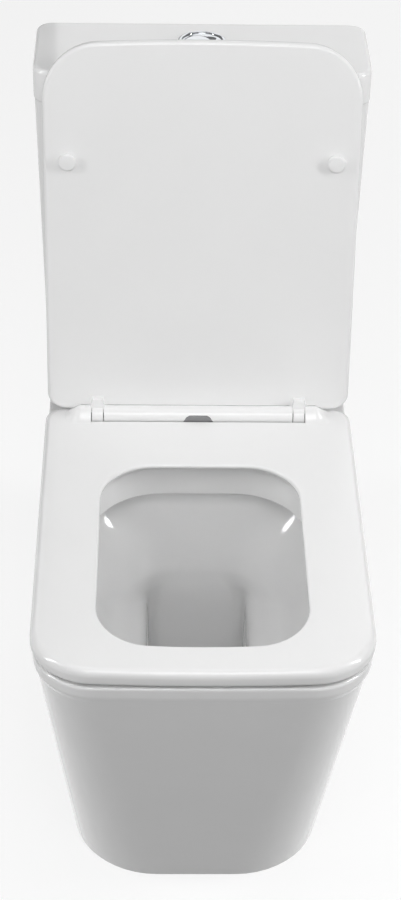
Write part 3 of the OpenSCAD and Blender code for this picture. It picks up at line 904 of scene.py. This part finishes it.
@dataclass
class Seat(Assembly):
    """The soft-close seat ring with its two raised knuckles."""

    hinge: HingeLine
    outer: Outline = Outline(408, 178, 195, 654, 20, 62, 7)
    outer_waist: Outline = Outline(418, 178, 188, 654, 20, 62, 7)
    hole_top: Outline = Outline(427, 110, 306, 611, 60, 56, 6)
    hole_edge: Outline = Outline(422, 110.6, 304, 611.6, 60, 56, 6)
    hole_foot: Outline = Outline(408, 117, 283, 618, 66, 60, 6)
    # What holds the hole's edges: half width, and distances from the wall.
    hole_box: tuple[float, float, float] = (135, 267, 632)
    notch_half_w: float = 124.4
    notch_front: float = 220.2
    knuckle_flat: float = 136.0
    knuckle_out: float = 157.0
    knuckle_back: float = 196.2
    knuckle_front: float = 227.0

    def ring(self) -> bpy.types.Object:
        """Press the ring, whose hole is undercut, and round its edges."""
        work = Workpiece("seat_ring")
        raised = replace(self.outer_waist, z=self.hole_top.z)
        rings = work.loft(
            [self.outer, self.outer_waist, raised, self.hole_top, self.hole_edge, self.hole_foot]
        )
        work.bridge(rings[-1], rings[0])
        high, low = self.hole_top.z * MM, self.outer.z * MM
        for inner, z, radius in ((False, high, 9.0), (True, high, 4.0), (False, low, 5.0), (True, low, 2.0)):
            work.pick("EDGE", lambda e, inner=inner, z=z: self.is_rim(e, inner, z))
            work.round_over(radius, 8)
        seat = work.off()
        cut(seat, self.notch_tool())
        even_shading(seat)
        return seat

    def is_rim(self, edge: bmesh.types.BMEdge, inner: bool, z: float) -> bool:
        """Tell whether an edge runs round the ring at one height.

        Args:
            edge: The edge.
            inner: Whether the hole's edge is wanted, not the outside one.
            z: The height in metres.

        Returns:
            True for an edge that is to be rounded.
        """
        level = all(abs(v.co.z - z) < LEVEL for v in edge.verts)
        middle = (edge.verts[0].co + edge.verts[1].co) / 2
        half_w, near, far = self.hole_box
        within = abs(middle.x) < half_w * MM and WALL_Y - far * MM < middle.y < WALL_Y - near * MM
        return level and within == inner and edge.calc_face_angle(0.0) > 0.5

    def notch_tool(self) -> bpy.types.Object:
        """Make the block that clears the hinge bar."""
        bpy.ops.object.select_all(action="DESELECT")
        depth, height = 60.0, 60.0
        centre = (0, WALL_Y - (self.notch_front - depth / 2) * MM, 0.42)
        bpy.ops.mesh.primitive_cube_add(size=1, location=centre)
        tool = bpy.context.active_object
        tool.scale = (2 * self.notch_half_w * MM, depth * MM, height * MM)
        bpy.ops.object.transform_apply(location=True, rotation=True, scale=True)
        return tool

    def knuckle(self, side: int) -> bpy.types.Object:
        """Swell one knuckle out of the ring, outside the lid's ear.

        Args:
            side: 1 on the right, -1 on the left.

        Returns:
            The knuckle.
        """
        inner, outer = self.notch_half_w + 0.2, self.knuckle_out
        width, depth = outer - inner, self.knuckle_front - self.knuckle_back
        centre = (
            side * (inner + outer) / 2 * MM,
            WALL_Y - (self.knuckle_back + self.knuckle_front) / 2 * MM,
            (self.hole_top.z - 0.4) * MM,
        )
        work = Workpiece("knuckle")
        bpy.ops.mesh.primitive_plane_add(size=1, location=centre)
        bpy.ops.transform.resize(value=(width * MM, depth * MM, 1), center_override=centre)
        bpy.ops.mesh.subdivide(number_cuts=31)
        bm = work.mesh()
        for v in bm.verts:
            v.co.z += self.swell(abs(v.co.x) / MM, (WALL_Y - v.co.y) / MM) * MM
        bmesh.update_edit_mesh(work.obj.data)
        bpy.ops.mesh.select_mode(type="EDGE")
        work.pick("EDGE", lambda e: len(e.link_faces) == 1)
        bpy.ops.mesh.extrude_region_move(TRANSFORM_OT_translate={"value": (0, 0, 0)})
        for v in work.mesh().verts:
            if v.select:
                v.co.z = (self.hole_top.z - 9) * MM
        bmesh.update_edit_mesh(work.obj.data)
        bpy.ops.mesh.edge_face_add()
        return work.off(smooth=50.0)

    def swell(self, x: float, distance: float) -> float:
        """Return how far the knuckle stands over the ring, in millimetres.

        Args:
            x: How far out from the middle.
            distance: How far from the wall.

        Returns:
            The height over the ring's top.
        """
        ease = lambda t: 1 - (3 - 2 * t) * t * t
        clip = lambda t: min(max(t, 0.0), 1.0)
        hinge = self.hinge
        out = ease(clip((x - self.knuckle_flat) / (self.knuckle_out - self.knuckle_flat)))
        if distance > hinge.distance:
            along = ease(clip((distance - hinge.distance) / (self.knuckle_front - hinge.distance)))
        else:
            behind = clip((hinge.distance - distance) / (hinge.distance - self.knuckle_back))
            along = math.sqrt(1 - behind**2)
        return (hinge.z + hinge.radius - self.hole_top.z + 0.4) * out * along

    def build(self) -> list[bpy.types.Object]:
        """Make the seat and hand it over."""
        seat = join(self.ring(), self.knuckle(1), self.knuckle(-1))
        return [self.hand_over(seat, "seat_body", [DUROPLAST], ("seat",))]


@dataclass
class Lid(Assembly):
    """The flat soft-close lid, its two ears, and the domed stops on its underside."""

    hinge: HingeLine
    thickness: float = 13.0
    outline: Outline = Outline(434, 175, 212.5, 652, 20, 60, 6)
    ear_in: float = 110.6
    ear_out: float = 123.6
    web_out: float = 12.0
    web_up: float = 6.5
    web_l: float = 16.0
    web_flare: float = 1.6
    # How far each step of the ear's web drops, and what is left of its width.
    web_steps: tuple[tuple[float, float], ...] = (
        (0.5, 0.92), (0.8, 0.92), (1.2, 0.93), (1.8, 0.95), (6, 0.97),
    )
    stop_x: float = 148.5
    stop_reach: float = 308.0
    stop_r: float = 10.0
    stop_h: float = 6.6
    # How far the stop's middle lies below the lid's underside.
    stop_sunk: float = 3.2
    clear_gap: float = 0.3
    clear_half_w: float = 136.0
    clear_taper: float = 21.0
    clear_end_r: float = 4.5

    @property
    def clear_r(self) -> float:
        """Radius of the groove that clears the hinge bar, in millimetres."""
        return self.hinge.radius + self.clear_gap

    def swing(self, piece: bpy.types.Object) -> bpy.types.Object:
        """Open a piece modelled on the closed lid to the angle where the lid rests.

        Args:
            piece: The piece, modelled with the lid closed.

        Returns:
            The piece, turned about the hinge line.
        """
        pivot = Matrix.Translation(self.hinge.point())
        turn = Matrix.Rotation(math.radians(-self.hinge.lid_angle), 4, "X")
        piece.data.transform(pivot @ turn @ pivot.inverted())
        piece.data.update()
        return piece

    def panel(self) -> bpy.types.Object:
        """Press the panel and round its rim."""
        work = Workpiece("lid_panel")
        work.ring(self.outline, keep_face=True)
        work.pick_level(self.outline.z, "FACE")
        work.extrude(z=self.thickness)
        work.pick_level(self.outline.z)
        work.round_over(4.0, 6)
        work.pick_level(self.outline.z + self.thickness)
        work.round_over(5.5, 6)
        panel = work.off()
        length = 2 * self.clear_half_w
        cut(panel, round_bar("clearance", self.clear_r, length, self.hinge.point(), "X", sides=96))
        for side in (1, -1):
            cut(panel, self.clearance_end(side))
        even_shading(panel)
        return panel

    def clearance_end(self, side: int) -> bpy.types.Object:
        """Taper one end of the groove that clears the hinge bar.

        Args:
            side: 1 on the right, -1 on the left.

        Returns:
            The cone that is cut away.
        """
        middle = self.clear_half_w + self.clear_taper / 2 - 0.02
        bpy.ops.object.select_all(action="DESELECT")
        bpy.ops.mesh.primitive_cone_add(
            vertices=96,
            radius1=self.clear_r * MM,
            radius2=self.clear_end_r * MM,
            depth=self.clear_taper * MM,
            location=self.hinge.point(side * middle),
            rotation=(0, side * math.pi / 2, 0),
        )
        bpy.ops.object.transform_apply(location=True, rotation=True, scale=True)
        return bpy.context.active_object

    def ear(self, side: int) -> bpy.types.Object:
        """Shape one ear: a round eye on the hinge line that flares into the panel.

        Args:
            side: 1 on the right, -1 on the left.

        Returns:
            The ear.
        """
        width = self.ear_out - self.ear_in
        x = side * (self.ear_in + self.ear_out) / 2
        eye = round_bar("lid_ear", self.hinge.radius, width, self.hinge.point(x), "X", edge=0.6)
        work = Workpiece("lid_ear_web")
        centre = self.hinge.point(x) + Vector((0, -self.web_out, self.web_up)) * MM
        bpy.ops.mesh.primitive_plane_add(size=1, location=centre)
        size = ((width + 3) * MM, self.web_l * MM, 1)
        bpy.ops.transform.resize(value=size, center_override=centre)
        work.pick("VERT", lambda v: v.co.y > centre.y)
        bpy.ops.transform.resize(value=(self.web_flare, 1, 1), center_override=centre)
        for drop, scale in self.web_steps:
            work.pick_lowest()
            work.extrude(z=-drop)
            bpy.ops.transform.resize(value=(scale, 1, 1), center_override=centre)
        web = work.off()
        return join(eye, web)

    def stop(self, side: int) -> bpy.types.Object:
        """Turn one domed stop.

        Args:
            side: 1 on the right, -1 on the left.

        Returns:
            The stop.
        """
        under = self.outline.z - self.hinge.z - self.stop_sunk
        centre = self.hinge.point(side * self.stop_x) + Vector((0, -self.stop_reach, under)) * MM
        return round_bar("lid_stop", self.stop_r, self.stop_h, centre, "Z", edge=2.6, sides=48)

    def build(self) -> list[bpy.types.Object]:
        """Make the lid and its stops and hand them over."""
        lid = join(self.panel(), self.ear(1), self.ear(-1))
        lid = self.hand_over(self.swing(lid), "lid_body", [DUROPLAST], ("toilet_lid",))
        stops = join(self.stop(1), self.stop(-1))
        stops.name = stops.data.name = "lid_stops"
        stops = self.hand_over(self.swing(stops), "lid_body", [BUFFER], ("lid_buffers",))
        return [lid, stops]


# ---------------------------------------------------------------- flush buttons


@dataclass
class FlushButtons(Assembly):
    """The chromed dual-flush set in the cistern lid."""

    distance: float
    lid_top: float
    bezel_r: float = 28.0
    bezel_h: float = 6.5
    shank_r: float = 25.0
    shank_h: float = 24.5
    button_r: float = 23.0
    half_x: float = -5.0
    half_r: float = 15.0
    dish_r: float = 44.0
    dish_depth: float = 0.4
    rod_r: float = 2.5
    rod_l: float = 124.0
    full_rod_x: float = 16.8

    @classmethod
    def in_frame(cls, paints: Paintbox) -> "FlushButtons":
        """Stand the buttons where the frame has the bezel and the cistern lid's top.

        Args:
            paints: The paints.

        Returns:
            The button set.
        """
        return cls(paints, distance=bezel_distance(), lid_top=round(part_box("cistern_lid")[1].z / MM, 3))

    def centre(self, x: float, z: float) -> Vector:
        """Return the point x to the right of the buttons' axis at height z."""
        return Vector((x * MM, WALL_Y - self.distance * MM, z * MM))

    def bezel(self) -> bpy.types.Object:
        """Turn the collar and ream its bore."""
        middle = self.centre(0, self.lid_top + self.bezel_h / 2)
        bezel = round_bar("flush_bezel", self.bezel_r, self.bezel_h, middle, edge=2.2)
        shank = round_bar("shank", self.shank_r, self.shank_h, self.centre(0, self.lid_top - 12), edge=0.8)
        cut(bezel, round_bar("bore", self.button_r + 0.45, 20, self.centre(0, self.lid_top + 5)))
        cut(shank, round_bar("bore", self.button_r + 0.35, 60, self.centre(0, self.lid_top)))
        return join(bezel, shank)

    def rod(self, x: float) -> bpy.types.Object:
        """Turn the push rod under a button."""
        middle = self.centre(x, self.lid_top + 2 - self.rod_l / 2)
        return round_bar("rod", self.rod_r, self.rod_l, middle, sides=24)

    def full_button(self) -> bpy.types.Object:
        """Turn the full-flush button and bore it for the half-flush one."""
        cap = round_bar("full_flush_cap", self.button_r, 4.6, self.centre(0, self.lid_top + 3.3), edge=0.9)
        cut(cap, round_bar("bore", self.half_r + 0.4, 20, self.centre(self.half_x, self.lid_top + 3)))
        return join(cap, self.rod(self.full_rod_x))

    def half_button(self) -> bpy.types.Object:
        """Turn the half-flush button with its shallow dish."""
        middle = self.centre(self.half_x, self.lid_top + 3.5)
        cap = round_bar("half_flush_cap", self.half_r, 5.0, middle, edge=0.9)
        dish = self.centre(self.half_x, self.lid_top + 6 + self.dish_r - self.dish_depth)
        bpy.ops.object.select_all(action="DESELECT")
        bpy.ops.mesh.primitive_uv_sphere_add(
            segments=96, ring_count=64, radius=self.dish_r * MM, location=dish
        )
        tool = bpy.context.active_object
        bpy.ops.object.transform_apply(location=True, rotation=True, scale=True)
        cut(cap, tool)
        return join(cap, self.rod(self.half_x))

    def build(self) -> list[bpy.types.Object]:
        """Make the chrome pieces and hand them over."""
        return [
            self.hand_over(self.bezel(), "ceramics", [CHROME], ("button_bezel",)),
            self.hand_over(self.full_button(), "full_button", [CHROME], ("full_flush_button",)),
            self.hand_over(self.half_button(), "half_button", [CHROME], ("half_flush_button",)),
        ]


# ---------------------------------------------------------------- nodes that stay


@dataclass
class FrameNodes(Assembly):
    """The CAD nodes whose shape is already right: each gets its real finish."""

    def build(self, nodes: dict[str, bpy.types.Object], record: dict) -> None:
        """Paint every node that is still shown.

        Args:
            nodes: Node name to object.
            record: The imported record, whose material slots say what each node is.
        """
        slots = {part["node"]: part["material_slot"] for part in record["subparts"]}
        for name, obj in sorted(nodes.items()):
            if obj.hide_render:
                continue
            finish = SLOT_FINISH[slots[name]]
            obj.data.materials.clear()
            obj.data.materials.append(self.paints.get(finish))
            log.info("%s stays, in %s", name, finish.name)


# ---------------------------------------------------------------- studio


@dataclass(frozen=True)
class Softbox:
    """One soft light: where it hangs, its width and height, its watts, and what it faces."""

    name: str
    at: tuple[float, float, float]
    size: tuple[float, float]
    power: float
    aim: tuple[float, float, float] = (0, 0, 0.45)

    def hang(self) -> None:
        """Hang the light, out of the camera's sight."""
        light = bpy.data.lights.new(self.name, "AREA")
        light.shape = "RECTANGLE"
        light.size, light.size_y = self.size
        light.energy = self.power
        obj = bpy.data.objects.new(self.name, light)
        bpy.context.scene.collection.objects.link(obj)
        obj.location = self.at
        obj.rotation_euler = (Vector(self.aim) - Vector(self.at)).to_track_quat("-Z", "Y").to_euler()
        obj.visible_camera = False


# The side strips draw the long glints in the bowl, the rest fill the broad faces.
SOFTBOXES = (
    Softbox("left_strip", (-1.5, -0.4, 1.3), (0.16, 1.2), 8.5),
    Softbox("right_strip", (1.5, -0.4, 1.3), (0.16, 1.2), 12),
    Softbox("front", (0, -1.25, 1.75), (1.0, 0.7), 9.6, (0, 0, 0.5)),
    Softbox("low_front", (0, -2.3, 1.15), (1.4, 0.5), 4),
    Softbox("overhead", (0, 0.15, 2.3), (1.2, 0.8), 3.8, (0, 0.1, 0.5)),
    Softbox("back_panel", (1.15, 3.0, 2.1), (2.9, 2.2), 20, (1.15, 0.2, 0.8)),
)


@dataclass
class Studio:
    """The pale floor, the soft lights and the camera."""

    camera_at: tuple[float, float, float] = (-0.05246, -1.9034, 1.85707)
    yaw: float = 1.59
    pitch: float = 36.17
    roll: float = -1.21
    lens: float = 84.87
    floor_side: float = 48.0
    floor_glow: float = 0.76
    wall_r: float = 22.0
    wall_h: float = 30.0
    wall_glow: float = 0.84
    air_glow: float = 0.2

    def pale(self, name: str, glow: float) -> bpy.types.Material:
        """Mix the studio's pale paint.

        Args:
            name: The paint's name.
            glow: How much it shines by itself.

        Returns:
            The paint.
        """
        material = bpy.data.materials.new(name)
        material.use_nodes = True
        shader = material.node_tree.nodes["Principled BSDF"]
        shader.inputs["Base Color"].default_value = linear("#8c8c8c")
        shader.inputs["Roughness"].default_value = 0.9
        shader.inputs["Emission Color"].default_value = linear("#ffffff")
        shader.inputs["Emission Strength"].default_value = glow
        return material

    def floor(self) -> None:
        """Lay the pale floor and stand the pale wall far round it.

        Both glow, so both are hidden from diffuse rays: only the softboxes shade the china.
        """
        bpy.ops.object.select_all(action="DESELECT")
        bpy.ops.mesh.primitive_plane_add(size=self.floor_side, location=(0, 0, 0))
        floor = bpy.context.active_object
        floor.name = "studio_floor"
        floor.data.materials.append(self.pale("studio_floor_paint", self.floor_glow))
        floor.visible_diffuse = False
        bpy.ops.object.select_all(action="DESELECT")
        middle = (0, 0, self.wall_h / 2 - 0.1)
        bpy.ops.mesh.primitive_cylinder_add(
            vertices=96, radius=self.wall_r, depth=self.wall_h, location=middle, end_fill_type="NOTHING"
        )
        wall = bpy.context.active_object
        wall.name = "studio_wall"
        wall.data.materials.append(self.pale("studio_wall_paint", self.wall_glow))
        wall.visible_diffuse = wall.visible_glossy = wall.visible_shadow = False

    def lights(self) -> None:
        """Hang the softboxes and set the room's own light."""
        for softbox in SOFTBOXES:
            softbox.hang()
        world = bpy.data.worlds.new("studio_air")
        world.use_nodes = True
        air = world.node_tree.nodes["Background"].inputs
        air["Color"].default_value = (1, 1, 1, 1)
        air["Strength"].default_value = self.air_glow
        bpy.context.scene.world = world
        bpy.context.scene.view_settings.view_transform = "Standard"

    def camera(self) -> None:
        """Stand the camera where the object is seen from."""
        yaw, pitch, roll = (math.radians(a) for a in (self.yaw, self.pitch, self.roll))
        ahead = Vector((math.sin(yaw) * math.cos(pitch), math.cos(yaw) * math.cos(pitch), -math.sin(pitch)))
        right = Vector((math.cos(yaw), -math.sin(yaw), 0))
        down = ahead.cross(right)
        x_axis = math.cos(roll) * right + math.sin(roll) * down
        y_axis = math.sin(roll) * right - math.cos(roll) * down
        data = bpy.data.cameras.new("studio_camera")
        data.lens = self.lens
        camera = bpy.data.objects.new("studio_camera", data)
        bpy.context.scene.collection.objects.link(camera)
        basis = Matrix((x_axis, y_axis, -ahead)).transposed().to_4x4()
        camera.matrix_world = Matrix.Translation(self.camera_at) @ basis
        bpy.context.scene.camera = camera

    def build(self) -> None:
        """Set up the studio."""
        self.floor()
        self.lights()
        self.camera()


# ---------------------------------------------------------------- the whole


def main() -> None:
    """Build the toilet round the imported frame."""
    logging.basicConfig(level=logging.INFO, format="%(name)s: %(message)s")
    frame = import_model()
    paints = Paintbox()
    Studio().build()
    record = frame["record"]
    joints = {joint["name"]: joint for joint in frame["joints"]}
    mounts = {mount["name"]: mount for mount in record["mounts"]}
    hinge = HingeLine.from_joint(joints["lid_hinge"])
    Pan(paints, mounts["outlet_spigot"]["dims"]["r_mm"]).build()
    Cistern(paints).build()
    Seat(paints, hinge).build()
    Lid(paints, hinge).build()
    FlushButtons.in_frame(paints).build()
    FrameNodes(paints).build(frame["nodes"], record)
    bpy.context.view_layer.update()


if __name__ == "__main__":
    main()
